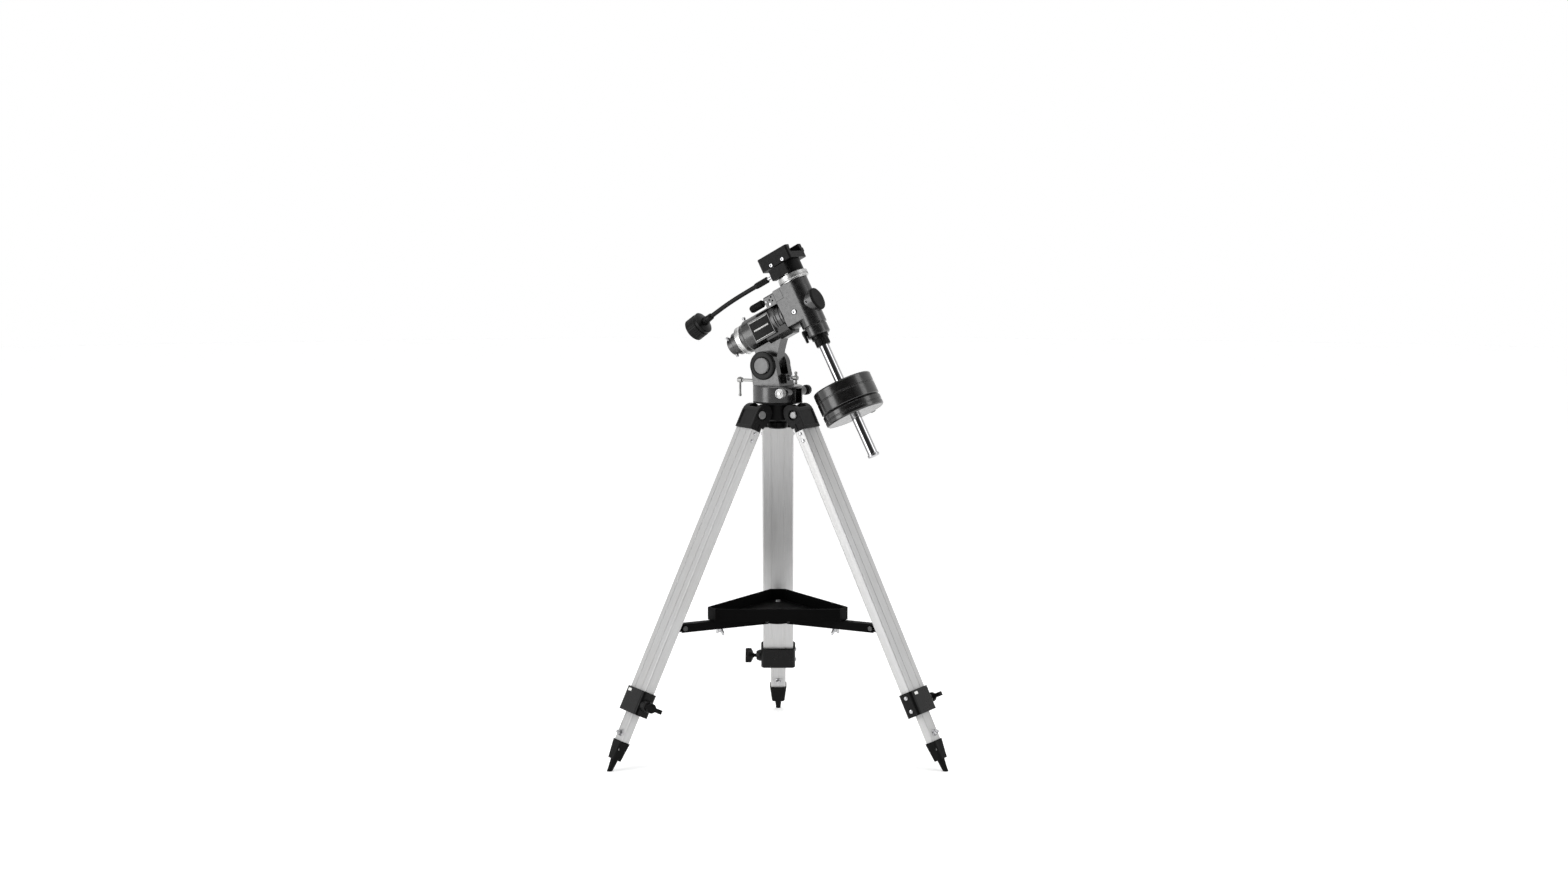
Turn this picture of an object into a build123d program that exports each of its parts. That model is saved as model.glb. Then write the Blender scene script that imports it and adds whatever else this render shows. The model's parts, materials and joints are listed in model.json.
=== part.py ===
"""Equatorial telescope mount on a three-legged stand, one STEP file for each piece.

Millimetres, +Z up.  The origin lies on the floor, in the middle of the whole object's box.
Three working frames carry the pieces:
  stand     z up the azimuth axis, x to the right
  head      z up the azimuth axis, x along the horizontal heading of the polar axis
  dec       z up the declination axis to the saddle, x up the polar axis, y to the back
"""
import os
from math import cos, pi, radians, sin, sqrt

from build123d import *

os.makedirs("parts", exist_ok=True)

# ---------------------------------------------------------------- driving dimensions
FEET_RADIUS = 377.5          # foot tips about the azimuth axis
HINGE_RADIUS = 52.7          # leg hinge bolts about the azimuth axis
HINGE_HEIGHT = 682.6
LEG_ANGLES = (90, 210, 330)  # back, left, right
HUB_TOP = 705.8
AXIS_Y = -77.32              # azimuth axis, in front of the middle of the plan

HEADING = 29.3               # polar axis heading, clockwise from +X
LATITUDE = 27.6              # polar axis above the horizon
AXES_OUT = 63.6              # where the two upper axes cross, along the heading
AXES_HEIGHT = 898.9
PIVOT_OUT = -17.0            # latitude pivot, along the heading
PIVOT_HEIGHT = 778.0

RUN = 0.05                   # radial clearance of a running fit
GAP = 0.4                    # clearance between other moving faces

UPPER_LEG = (64.0, 22.0)     # section of the outer leg, across and deep
LOWER_LEG = (32.0, 17.0)     # section of the sliding leg
UPPER_LEG_SPAN = (124.0, 730.0)
LOWER_LEG_SPAN = (44.0, 600.0)
COLLAR_SPAN = (119.5, 168.0)
BRACKET_ALONG = 290.0        # spreader brackets, along the leg from the tip
LOCK_ALONG = 142.0           # leg lock knobs, along the leg from the tip

TRAY_TOP = 301.1
TRAY_DEPTH = 25.2
TRAY_CORNER = 151.35         # middle of each cut-off corner
TRAY_CORNER_WIDTH = 32.0
ARM_HEIGHT = 17.0

BASE_RADIUS = 49.5
BASE_SPAN = (706.0, 738.0)
SPIGOT_RADIUS = 22.0
AZ_SCREW_OUT = 36.2
AZ_SCREW_HEIGHT = 726.5
YOKE_HALF = 29.5
YOKE_SLOT = 15.0
REAR_BOLT_HEIGHT = 745.5
FRONT_BOLT_HEIGHT = 754.0
FINGER_HALF = 7.0

RA_RADIUS = 33.6             # polar axis housing
RA_SPAN = (-139.0, -58.0)
RA_SHAFT_RADIUS = 14.0
DEC_RADIUS = 25.4            # round nose of the declination housing
DEC_SHAFT_RADIUS = 12.0
CIRCLE_RADIUS = 31.0         # declination setting circle
BAR_RADIUS = 10.0            # counterweight bar
BAR_END = -326.0
WEIGHT_RADIUS = 60.5
WEIGHT_TOP = -172.0
WEIGHT_JOINT = -219.0
WEIGHT_BOTTOM = -242.0
SADDLE_SPAN = (-42.0, 30.0)
DOVETAIL_MOUTH = 36.0        # channel width at the top of the saddle
DOVETAIL_FLOOR = 45.0        # channel width at its floor
CABLE_RADIUS = 4.6
WORM_Y = -27.0               # declination worm and its cable
WORM_Z = 77.0

# ---------------------------------------------------------------- frames
ORIGIN = Vector(0, AXIS_Y, 0)
UP = Vector(0, 0, 1)
AHEAD = Vector(cos(radians(HEADING)), -sin(radians(HEADING)), 0)
BACK = UP.cross(AHEAD)
POLE = AHEAD * cos(radians(LATITUDE)) + UP * sin(radians(LATITUDE))
RISE = POLE.cross(BACK)
CROSSING = ORIGIN + AHEAD * AXES_OUT + UP * AXES_HEIGHT

stand = Plane(origin=ORIGIN, x_dir=(1, 0, 0), z_dir=(0, 0, 1))
head = Plane(origin=ORIGIN, x_dir=AHEAD, z_dir=UP)
dec = Plane(origin=CROSSING, x_dir=POLE, z_dir=RISE)


def local(frame, origin=(0, 0, 0), z_dir=(0, 0, 1), x_dir=(1, 0, 0)):
    """A plane given by a point and two directions in another frame."""
    centre = frame.from_local_coords(Vector(*origin))
    normal = frame.from_local_coords(Vector(*z_dir)) - frame.origin
    across = frame.from_local_coords(Vector(*x_dir)) - frame.origin
    return Plane(origin=centre, x_dir=across, z_dir=normal)


def side(frame, y=0.0):
    """The upright plane of a frame, x as the frame's x and y as its z, facing the front."""
    return local(frame, (0, y, 0), z_dir=(0, -1, 0))


def turn(frame, *outline, mode=Mode.ADD):
    """Turn half a section, given as (radius, height) points, about the frame's z axis."""
    with BuildSketch(side(frame)) as section:
        with BuildLine():
            Polyline(*outline, close=True)
        make_face()
    revolve(section.sketch, axis=Axis(frame.origin, frame.z_dir), mode=mode)


def disc(frame, radius, low, high, mode=Mode.ADD):
    """A cylinder about the frame's z axis between two heights."""
    with BuildSketch(local(frame, (0, 0, low))) as section:
        Circle(radius)
    extrude(section.sketch, amount=high - low, mode=mode)


def block(frame, low, high, mode=Mode.ADD):
    """A box between two corners given in a frame."""
    middle = [(a + b) / 2 for a, b in zip(low, high)]
    with BuildSketch(local(frame, (middle[0], middle[1], low[2]))) as section:
        Rectangle(high[0] - low[0], high[1] - low[1])
    extrude(section.sketch, amount=high[2] - low[2], mode=mode)


def plate(plane, points, thick, mode=Mode.ADD):
    """A flat plate with a straight-sided outline, raised from its plane."""
    with BuildSketch(plane) as section:
        with BuildLine():
            Polyline(*points, close=True)
        make_face()
    extrude(section.sketch, amount=thick, mode=mode)


def keep(part, name):
    """Label a finished piece and write its file."""
    part.part.label = name
    export_step(part.part, f"parts/{name}.step")


def leg_frame(angle):
    """Leg frame: origin at the foot tip, z up the leg to its hinge, x sideways, y to the inside."""
    outward = Vector(cos(radians(angle)), sin(radians(angle)), 0)
    sideways = UP.cross(outward)
    tip = ORIGIN + outward * FEET_RADIUS
    hinge = ORIGIN + outward * HINGE_RADIUS + UP * HINGE_HEIGHT
    return Plane(origin=tip, x_dir=sideways, z_dir=hinge - tip)


def radial_frame(angle):
    """Frame on the azimuth axis whose x points along a leg."""
    outward = Vector(cos(radians(angle)), sin(radians(angle)), 0)
    return Plane(origin=ORIGIN, x_dir=outward, z_dir=UP)


LEG_LENGTH = sqrt((FEET_RADIUS - HINGE_RADIUS) ** 2 + HINGE_HEIGHT ** 2)
legs = [leg_frame(angle) for angle in LEG_ANGLES]
spokes = [radial_frame(angle) for angle in LEG_ANGLES]

# ---------------------------------------------------------------- stand: hub
TONGUE_HALF = 15.2
TONGUE_ROUND = 10.4
PEG_RADIUS = 5.0

with BuildPart() as tripod_hub:
    turn(stand, (0, 668), (28, 668), (31, 671), (31, 700), (44, 703), (49.5, 703.6), (49.5, HUB_TOP),
         (SPIGOT_RADIUS, HUB_TOP), (SPIGOT_RADIUS, 721), (21, 722), (0, 722))
    for spoke in spokes:
        block(spoke, (0, -TONGUE_HALF, HINGE_HEIGHT - TONGUE_ROUND),
              (HINGE_RADIUS, TONGUE_HALF, HINGE_HEIGHT + TONGUE_ROUND))
        knuckle = local(spoke, (HINGE_RADIUS, -TONGUE_HALF, HINGE_HEIGHT), z_dir=(0, 1, 0))
        disc(knuckle, TONGUE_ROUND, 0, 2 * TONGUE_HALF)
        disc(knuckle, 5.0, 0, 2 * TONGUE_HALF, mode=Mode.SUBTRACT)
    disc(local(head, (AZ_SCREW_OUT, 0, 0)), PEG_RADIUS, HUB_TOP - 4, 732)
    disc(stand, 6.3, 660, 730, mode=Mode.SUBTRACT)
keep(tripod_hub, "tripod_hub")

with BuildPart() as centre_bolt:
    turn(stand, (0, 652), (17, 652), (20, 655), (20, 664), (17, 667.5), (5.0, 667.5), (5.0, 733), (4, 734),
         (0, 734))
    with BuildSketch(local(stand, (0, 0, 652))):
        with PolarLocations(21.5, 7):
            Circle(3.2)
    extrude(amount=16, mode=Mode.SUBTRACT)
keep(centre_bolt, "centre_bolt")

# ---------------------------------------------------------------- stand: legs
HEAD_HALF = 31.0
TOP_SCREWS_ALONG = (701, 716)
COLLAR_SCREWS_ALONG = (131, 158)
SOCKET = (UPPER_LEG[0] - 3.6, UPPER_LEG[1] - 3.6)


# outline of a leg head seen along its hinge: inward, then up the leg
HEAD_OUTLINE = ((-13.6, 722), (-13.6, 758), (-12.4, 765), (-9.6, 771), (-5, 775.8), (0.4, 778.3), (6, 778.6),
                (11.4, 776.6), (15.8, 772.6), (18.8, 767), (19.8, 760), (19, 748), (14, 731.5), (8.3, 731.5),
                (8.3, 722))

with BuildPart() as leg_heads:
    for leg in legs:
        plate(local(leg, (-HEAD_HALF, 0, 0), z_dir=(1, 0, 0), x_dir=(0, 1, 0)), HEAD_OUTLINE, 2 * HEAD_HALF)
        block(leg, (-SOCKET[0] / 2, -SOCKET[1] / 2, 690), (SOCKET[0] / 2, SOCKET[1] / 2, 724))
        block(leg, (-TONGUE_HALF - GAP, -10.9, 735), (TONGUE_HALF + GAP, 30, 800), mode=Mode.SUBTRACT)
        bolt_line = local(leg, (-40, 0, LEG_LENGTH), z_dir=(1, 0, 0), x_dir=(0, 1, 0))
        disc(bolt_line, 5.0, 0, 80, mode=Mode.SUBTRACT)
        disc(bolt_line, 10.5, 5, 13.5, mode=Mode.SUBTRACT)
        disc(bolt_line, 10.5, 66.5, 75, mode=Mode.SUBTRACT)
        block(leg, (-25, -20, 729), (25, -12.2, 760), mode=Mode.SUBTRACT)
        for low, high in ((-40, 1.6 - HEAD_HALF), (HEAD_HALF - 1.6, 40)):
            block(leg, (low, -9, 726), (high, 3, 738), mode=Mode.SUBTRACT)
keep(leg_heads, "leg_heads")

with BuildPart() as hinge_bolts:
    for leg in legs:
        bolt_line = local(leg, (0, 0, LEG_LENGTH), z_dir=(1, 0, 0), x_dir=(0, 1, 0))
        turn(bolt_line, (0, -31.5), (6, -31.5), (7.5, -30), (7.5, -26.5), (5.0, -26.5), (5.0, 26.5), (8, 26.5),
             (8, 31), (0, 31))
keep(hinge_bolts, "hinge_bolts")


def groove_pairs(leg, low, high):
    """Shallow sight lines along both broad faces of an outer leg."""
    for face in (-1, 1):
        for across in (-13.4, 13.4):
            edge = face * UPPER_LEG[1] / 2
            block(leg, (across - 0.7, min(edge, edge - face * 0.6), low),
                  (across + 0.7, max(edge, edge - face * 0.6), high), mode=Mode.SUBTRACT)


for number, leg in enumerate(legs, start=1):
    with BuildPart() as upper_leg:
        with BuildSketch(local(leg, (0, 0, UPPER_LEG_SPAN[0]))):
            RectangleRounded(*UPPER_LEG, 3.0)
            Rectangle(LOWER_LEG[0] + 0.8, LOWER_LEG[1] + 0.8, mode=Mode.SUBTRACT)
            for across in (-1, 1):
                with Locations((across * 24.2, 0)):
                    Rectangle(12.0, SOCKET[1], mode=Mode.SUBTRACT)
        extrude(amount=UPPER_LEG_SPAN[1] - UPPER_LEG_SPAN[0])
        block(leg, (-SOCKET[0] / 2, -SOCKET[1] / 2, 688), (SOCKET[0] / 2, SOCKET[1] / 2, 731), mode=Mode.SUBTRACT)
        block(leg, (-34, -20, 722), (34, 8.5, 735), mode=Mode.SUBTRACT)
        block(leg, (-25.5, 0, 722), (25.5, 20, 735), mode=Mode.SUBTRACT)
        groove_pairs(leg, *UPPER_LEG_SPAN)
        for along in TOP_SCREWS_ALONG:
            disc(local(leg, (-40, 0, along), z_dir=(1, 0, 0), x_dir=(0, 1, 0)), 2.0, 0, 80, mode=Mode.SUBTRACT)
        disc(local(leg, (0, 0, LOCK_ALONG), z_dir=(1, 0, 0), x_dir=(0, 1, 0)), 4.4, 15, 40, mode=Mode.SUBTRACT)
    keep(upper_leg, f"upper_leg_{number}")

COLLAR_WALL = 4.8
with BuildPart() as leg_collars:
    low, high = COLLAR_SPAN
    for leg in legs:
        with BuildSketch(local(leg, (0, 0, low))):
            RectangleRounded(UPPER_LEG[0] + 2 * COLLAR_WALL, UPPER_LEG[1] + 2 * COLLAR_WALL, 7.5)
        extrude(amount=high - low)
        with BuildSketch(local(leg, (0, 0, UPPER_LEG_SPAN[0]))):
            RectangleRounded(*UPPER_LEG, 3.0)
        extrude(amount=60, mode=Mode.SUBTRACT)
        block(leg, (-LOWER_LEG[0] / 2 - GAP, -LOWER_LEG[1] / 2 - GAP, low - 1),
              (LOWER_LEG[0] / 2 + GAP, LOWER_LEG[1] / 2 + GAP, low + 6), mode=Mode.SUBTRACT)
        knob_line = local(leg, (UPPER_LEG[0] / 2, 0, LOCK_ALONG), z_dir=(1, 0, 0), x_dir=(0, 1, 0))
        turn(knob_line, (0, 0.5), (13, 0.5), (12, 9), (9, 15), (0, 15))
        disc(knob_line, 4.0 + RUN, -5, 20, mode=Mode.SUBTRACT)
        for along in COLLAR_SCREWS_ALONG:
            disc(local(leg, (-40, 0, along), z_dir=(1, 0, 0), x_dir=(0, 1, 0)), 2.4, 0, 10, mode=Mode.SUBTRACT)
keep(leg_collars, "leg_collars")

with BuildPart() as leg_screws:
    for leg in legs:
        for along in COLLAR_SCREWS_ALONG:
            screw = local(leg, (-UPPER_LEG[0] / 2 - COLLAR_WALL, 0, along), z_dir=(-1, 0, 0), x_dir=(0, 1, 0))
            turn(screw, (0, -4), (2.4, -4), (2.4, 0), (4.2, 0), (3.6, 2.2), (1.8, 2.6), (0, 2.6))
        for across in (-1, 1):
            for along in TOP_SCREWS_ALONG:
                screw = local(leg, (across * UPPER_LEG[0] / 2, 0, along), z_dir=(across, 0, 0), x_dir=(0, 1, 0))
                turn(screw, (0, -1.8), (2, -1.8), (2, 0), (3.8, 0), (3.2, 1.6), (1.6, 2), (0, 2))
keep(leg_screws, "leg_screws")

for number, leg in enumerate(legs, start=1):
    with BuildPart() as lower_leg:
        low, high = LOWER_LEG_SPAN
        with BuildSketch(local(leg, (0, 0, low))):
            RectangleRounded(*LOWER_LEG, 2.2)
            Rectangle(LOWER_LEG[0] - 3.2, LOWER_LEG[1] - 3.2, mode=Mode.SUBTRACT)
        extrude(amount=high - low)
        bolt_line = local(leg, (0, 0, 77), z_dir=(0, 1, 0))
        disc(bolt_line, 3.0, -20, 20, mode=Mode.SUBTRACT)
        block(leg, (-12, LOWER_LEG[1] / 2 - 0.5, 84), (12, LOWER_LEG[1] / 2 + 1, high), mode=Mode.SUBTRACT)
        block(leg, (-12, -LOWER_LEG[1] / 2 - 1, 84), (12, -LOWER_LEG[1] / 2 + 0.5, high), mode=Mode.SUBTRACT)
    keep(lower_leg, f"lower_leg_{number}")

for number, leg in enumerate(legs, start=1):
    with BuildPart() as foot:
        with BuildSketch(local(leg, (0, 0, 62))):
            RectangleRounded(36, 22.5, 4)
        with BuildSketch(local(leg, (0, 0, 24))):
            RectangleRounded(28, 19, 6)
        loft()
        block(leg, (-LOWER_LEG[0] / 2, -LOWER_LEG[1] / 2, 44), (LOWER_LEG[0] / 2, LOWER_LEG[1] / 2, 70),
              mode=Mode.SUBTRACT)
        plug = (LOWER_LEG[0] / 2 - 1.6, LOWER_LEG[1] / 2 - 1.6)
        block(leg, (-plug[0], -plug[1], 40), (plug[0], plug[1], 60))
        turn(leg, (0, -6), (5.0, -6), (5.4, 4), (7.5, 25), (0, 25))
        split(bisect_by=Plane(origin=(0, 0, 0), z_dir=(0, 0, 1)), keep=Keep.TOP)
    keep(foot, f"foot_{number}")

# wing of a leg lock knob: across, then out from the leg
WING_OUTLINE = ((-19.5, 26), (-20.5, 28), (-20.5, 37), (-18.5, 38.5), (18.5, 38.5), (20.5, 37), (20.5, 28),
                (19.5, 26), (8, 22.5), (-8, 22.5))
for number, leg in enumerate(legs, start=1):
    with BuildPart() as leg_lock_knob:
        knob_line = local(leg, (UPPER_LEG[0] / 2, 0, LOCK_ALONG), z_dir=(1, 0, 0), x_dir=(0, 1, 0))
        tip = LOWER_LEG[0] / 2 - UPPER_LEG[0] / 2 + 0.6
        turn(knob_line, (0, tip), (2.6, tip), (4.0, tip + 1.5), (4.0, 16), (3.4, 19), (6, 22), (9.5, 25),
             (9.5, 31), (8.5, 32), (0, 32))
        plate(side(knob_line, y=-4.2), WING_OUTLINE, -8.4)
    keep(leg_lock_knob, f"leg_lock_knob_{number}")

# ---------------------------------------------------------------- stand: spreader and tray
ARM_TOP = TRAY_TOP - TRAY_DEPTH
ARM_LOW = ARM_TOP - ARM_HEIGHT
ARM_HALF = 9.0
PIN_RADIUS = 3.0
ARM_END = 216.0              # outer pins about the azimuth axis
HUB_PIN_OUT = 31.0
PIN_HEIGHT = ARM_LOW + ARM_HEIGHT / 2

with BuildPart() as spreader_hub:
    turn(stand, (0, ARM_LOW), (24, ARM_LOW), (26, ARM_LOW + 2), (26, ARM_LOW + 8), (10, ARM_LOW + 8),
         (10, ARM_TOP), (0, ARM_TOP))
    for spoke in spokes:
        block(spoke, (8, -5.6, ARM_LOW + 2), (37, 5.6, ARM_TOP - 2.4))
        disc(local(spoke, (HUB_PIN_OUT, -20, PIN_HEIGHT), z_dir=(0, 1, 0)), PIN_RADIUS, 0, 40, mode=Mode.SUBTRACT)
keep(spreader_hub, "spreader_hub")

with BuildPart() as spreader_arms:
    for spoke in spokes:
        block(spoke, (26.4, -ARM_HALF, ARM_LOW), (ARM_END + 6, ARM_HALF, ARM_TOP))
        block(spoke, (20, -ARM_HALF + 2.2, ARM_LOW - 1), (ARM_END + 9, ARM_HALF - 2.2, ARM_TOP - 2.2),
              mode=Mode.SUBTRACT)
        for out in (HUB_PIN_OUT, ARM_END):
            disc(local(spoke, (out, -20, PIN_HEIGHT), z_dir=(0, 1, 0)), PIN_RADIUS, 0, 40, mode=Mode.SUBTRACT)
        disc(local(spoke, (132, 0, 0)), 3.2, ARM_LOW, ARM_TOP + 5, mode=Mode.SUBTRACT)
keep(spreader_arms, "spreader_arms")

with BuildPart() as spreader_brackets:
    for leg, spoke in zip(legs, spokes):
        inner = UPPER_LEG[1] / 2
        block(leg, (-15, inner, BRACKET_ALONG - 12), (15, inner + 3.0, BRACKET_ALONG + 26))
        block(spoke, (ARM_END - 6, -6.0, PIN_HEIGHT - 7), (ARM_END + 30, 6.0, PIN_HEIGHT + 5.8))
        block(leg, (-20, -40, BRACKET_ALONG - 60), (20, inner, BRACKET_ALONG + 60), mode=Mode.SUBTRACT)
        disc(local(spoke, (ARM_END, -20, PIN_HEIGHT), z_dir=(0, 1, 0)), PIN_RADIUS, 0, 40, mode=Mode.SUBTRACT)
keep(spreader_brackets, "spreader_brackets")

with BuildPart() as spreader_pins:
    for spoke in spokes:
        for out in (HUB_PIN_OUT, ARM_END):
            pin = local(spoke, (out, 0, PIN_HEIGHT), z_dir=(0, -1, 0))
            turn(pin, (0, -12.5), (4.8, -12.5), (4.8, -ARM_HALF), (PIN_RADIUS, -ARM_HALF), (PIN_RADIUS, ARM_HALF),
                 (5.2, ARM_HALF), (4.4, ARM_HALF + 3.2), (0, ARM_HALF + 3.2))
keep(spreader_pins, "spreader_pins")


def tray_points(inset):
    """Triangle that points at the legs, its corners cut square; inset shrinks every side alike."""
    reach = TRAY_CORNER - inset
    sides = TRAY_CORNER * cos(radians(60)) + TRAY_CORNER_WIDTH / 2 * sin(radians(60)) - inset
    half = (sides - reach * cos(radians(60))) / sin(radians(60))
    points = []
    for angle in LEG_ANGLES:
        for across in (-half, half):
            turned = radians(angle)
            points.append((reach * cos(turned) - across * sin(turned), reach * sin(turned) + across * cos(turned)))
    return points


TRAY_WALL = 2.4
with BuildPart() as accessory_tray:
    plate(local(stand, (0, 0, ARM_TOP)), tray_points(0), TRAY_DEPTH)
    plate(local(stand, (0, 0, ARM_TOP + TRAY_WALL)), tray_points(TRAY_WALL), TRAY_DEPTH, mode=Mode.SUBTRACT)
    for spoke in spokes:
        disc(local(spoke, (132, 0, 0)), 3.2, TRAY_TOP - TRAY_DEPTH - 1, TRAY_TOP, mode=Mode.SUBTRACT)
keep(accessory_tray, "accessory_tray")

with BuildPart() as tray_screws:
    for spoke in spokes:
        floor_top = TRAY_TOP - TRAY_DEPTH + TRAY_WALL
        screw = local(spoke, (132, 0, 0))
        turn(screw, (0, ARM_LOW - 8), (3.0, ARM_LOW - 8), (3.0, floor_top), (6.5, floor_top), (5.5, floor_top + 3),
             (0, floor_top + 3))
        disc(screw, 6.0, ARM_LOW - 6, ARM_LOW + 4)
        for across in (-1, 1):
            wing = local(screw, (0, across * 9, ARM_LOW - 4), x_dir=(0, 1, 0))
            plate(side(wing, y=-1.3), ((-across * 6, -2), (across * 3, -9), (across * 6, -8), (across * 6, -3),
                                       (-across * 4, 5)), -2.6)
keep(tray_screws, "tray_screws")

# ---------------------------------------------------------------- azimuth base and latitude yoke
POCKET_HALF = 12.5
BOSS_END = 38.0
SCREW_RADIUS = 4.0

with BuildPart() as azimuth_base:
    low, high = BASE_SPAN
    turn(head, (SPIGOT_RADIUS + RUN, low), (BASE_RADIUS - 1, low), (BASE_RADIUS, low + 1), (BASE_RADIUS, high - 1.5),
         (BASE_RADIUS - 1.5, high), (0, high), (0, high - 3), (5.4, high - 3), (5.4, 723), (SPIGOT_RADIUS + RUN, 723))
    for way in (-1, 1):
        boss = local(head, (AZ_SCREW_OUT, 0, AZ_SCREW_HEIGHT), z_dir=(0, way, 0))
        turn(boss, (0, 20), (9, 20), (9, BOSS_END - 1), (8, BOSS_END), (0, BOSS_END))
    block(head, (29, -POCKET_HALF, low - 1), (BASE_RADIUS + 1, POCKET_HALF, 733.5), mode=Mode.SUBTRACT)
    disc(local(head, (AZ_SCREW_OUT, -60, AZ_SCREW_HEIGHT), z_dir=(0, 1, 0)), SCREW_RADIUS + RUN, 0, 120,
         mode=Mode.SUBTRACT)
keep(azimuth_base, "azimuth_base")

for way, end in ((-1, "front"), (1, "rear")):
    with BuildPart() as azimuth_screw:
        line = local(head, (AZ_SCREW_OUT, 0, AZ_SCREW_HEIGHT), z_dir=(0, way, 0))
        turn(line, (0, PEG_RADIUS + 0.3), (3, PEG_RADIUS + 0.3), (SCREW_RADIUS, 7), (SCREW_RADIUS, 46), (7.4, 46),
             (8, 48), (10.2, 48.6), (10.2, 57), (9, 58.5), (7.6, 58.5), (7.6, 57.5), (6.4, 57.5), (6.4, 58.5),
             (3.4, 58.5), (3.4, 59.5), (0, 59.5))
        with BuildSketch(local(line, (0, 0, 48))):
            with PolarLocations(10.6, 16):
                Circle(1.0)
        extrude(amount=10, mode=Mode.SUBTRACT)
    keep(azimuth_screw, f"azimuth_screw_{end}")

YOKE_ROUND = 29.0
WALL_REAR = (-41.0, -33.0)
WALL_FRONT = (14.0, 27.0)
PIVOT_PIN = 6.0
BOLT_RADIUS = 3.0

with BuildPart() as latitude_yoke:
    back_face = side(head, YOKE_HALF)
    plate(back_face, ((-40, BASE_SPAN[1]), (21.4, BASE_SPAN[1]), (11.6, 782), (PIVOT_OUT - YOKE_ROUND, 782)),
          2 * YOKE_HALF)
    pivot_line = local(head, (PIVOT_OUT, 0, PIVOT_HEIGHT), z_dir=(0, -1, 0))
    disc(pivot_line, YOKE_ROUND, -YOKE_HALF, YOKE_HALF)
    block(head, (WALL_REAR[1], -YOKE_SLOT, BASE_SPAN[1] - 1), (WALL_FRONT[0], YOKE_SLOT, 820), mode=Mode.SUBTRACT)
    block(head, (-60, -YOKE_SLOT, 753), (0, YOKE_SLOT, 820), mode=Mode.SUBTRACT)
    block(head, (0, -YOKE_SLOT, 762), (40, YOKE_SLOT, 820), mode=Mode.SUBTRACT)
    block(head, (WALL_FRONT[0], -11, 744), (WALL_FRONT[1], 11, 762))
    rear_line = local(head, (0, 0, REAR_BOLT_HEIGHT), z_dir=(-1, 0, 0), x_dir=(0, 1, 0))
    front_line = local(head, (0, 0, FRONT_BOLT_HEIGHT), z_dir=(1, 0, 0), x_dir=(0, 1, 0))
    disc(rear_line, 7.5, 36, -WALL_REAR[0] + 4)
    disc(rear_line, BOLT_RADIUS + RUN, 20, 60, mode=Mode.SUBTRACT)
    disc(front_line, BOLT_RADIUS + RUN, 10, 60, mode=Mode.SUBTRACT)
    disc(pivot_line, PIVOT_PIN, -40, 40, mode=Mode.SUBTRACT)
keep(latitude_yoke, "latitude_yoke")

with BuildPart() as latitude_pivot:
    turn(pivot_line, (0, -38), (15, -38), (15.8, -37), (15.8, -YOKE_HALF), (PIVOT_PIN, -YOKE_HALF),
         (PIVOT_PIN, YOKE_HALF), (15.8, YOKE_HALF), (15.8, 37), (15, 38), (0, 38))
keep(latitude_pivot, "latitude_pivot")


def cross_bar(out, low, high):
    """A ball-ended bar that stands upright through a bolt head."""
    bar = local(head, (out, 0, 0))
    turn(bar, (0, low), (2.2, low + 0.5), (3.1, low + 2), (3.1, low + 4), (2.3, low + 5.5), (2.3, high - 5.5),
         (3.1, high - 4), (3.1, high - 2), (2.2, high - 0.5), (0, high))


# outer bolt ends and their bars, measured out from the azimuth axis
REAR_BOLT_OUT = 86.8
FRONT_BOLT_OUT = 41.5
with BuildPart() as latitude_bolt_rear:
    tip = -PIVOT_OUT + FINGER_HALF + 0.5
    turn(rear_line, (0, tip), (1.5, tip), (BOLT_RADIUS, tip + 1.6), (BOLT_RADIUS, REAR_BOLT_OUT - 6),
         (5.2, REAR_BOLT_OUT - 5), (5.2, REAR_BOLT_OUT + 4), (4.4, REAR_BOLT_OUT + 5), (0, REAR_BOLT_OUT + 5))
    cross_bar(-REAR_BOLT_OUT, 712, 752)
keep(latitude_bolt_rear, "latitude_bolt_rear")

with BuildPart() as latitude_bolt_front:
    tip = PIVOT_OUT + FINGER_HALF + 1.2
    turn(front_line, (0, tip), (1.5, tip), (BOLT_RADIUS, tip + 1.6), (BOLT_RADIUS, FRONT_BOLT_OUT - 5),
         (4.8, FRONT_BOLT_OUT - 4), (4.8, FRONT_BOLT_OUT + 3), (4.2, FRONT_BOLT_OUT + 4), (0, FRONT_BOLT_OUT + 4))
    cross_bar(FRONT_BOLT_OUT, 741, 767)
keep(latitude_bolt_front, "latitude_bolt_front")

# ---------------------------------------------------------------- polar axis housing
ra = local(dec, z_dir=(1, 0, 0), x_dir=(0, 0, 1))     # z up the polar axis, x to the saddle, y to the front
RA_FRONT = -43.9
DEC_LEFT = -43.5
CIRCLE_BORE = 20.0
WHEEL_SPAN = (-67.0, -56.0)
RA_WHEEL_RADIUS = 26.0
RA_WORM_Z = 33.5
RA_WORM_X = -61.5
WEB_HALF = 14.6

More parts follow.
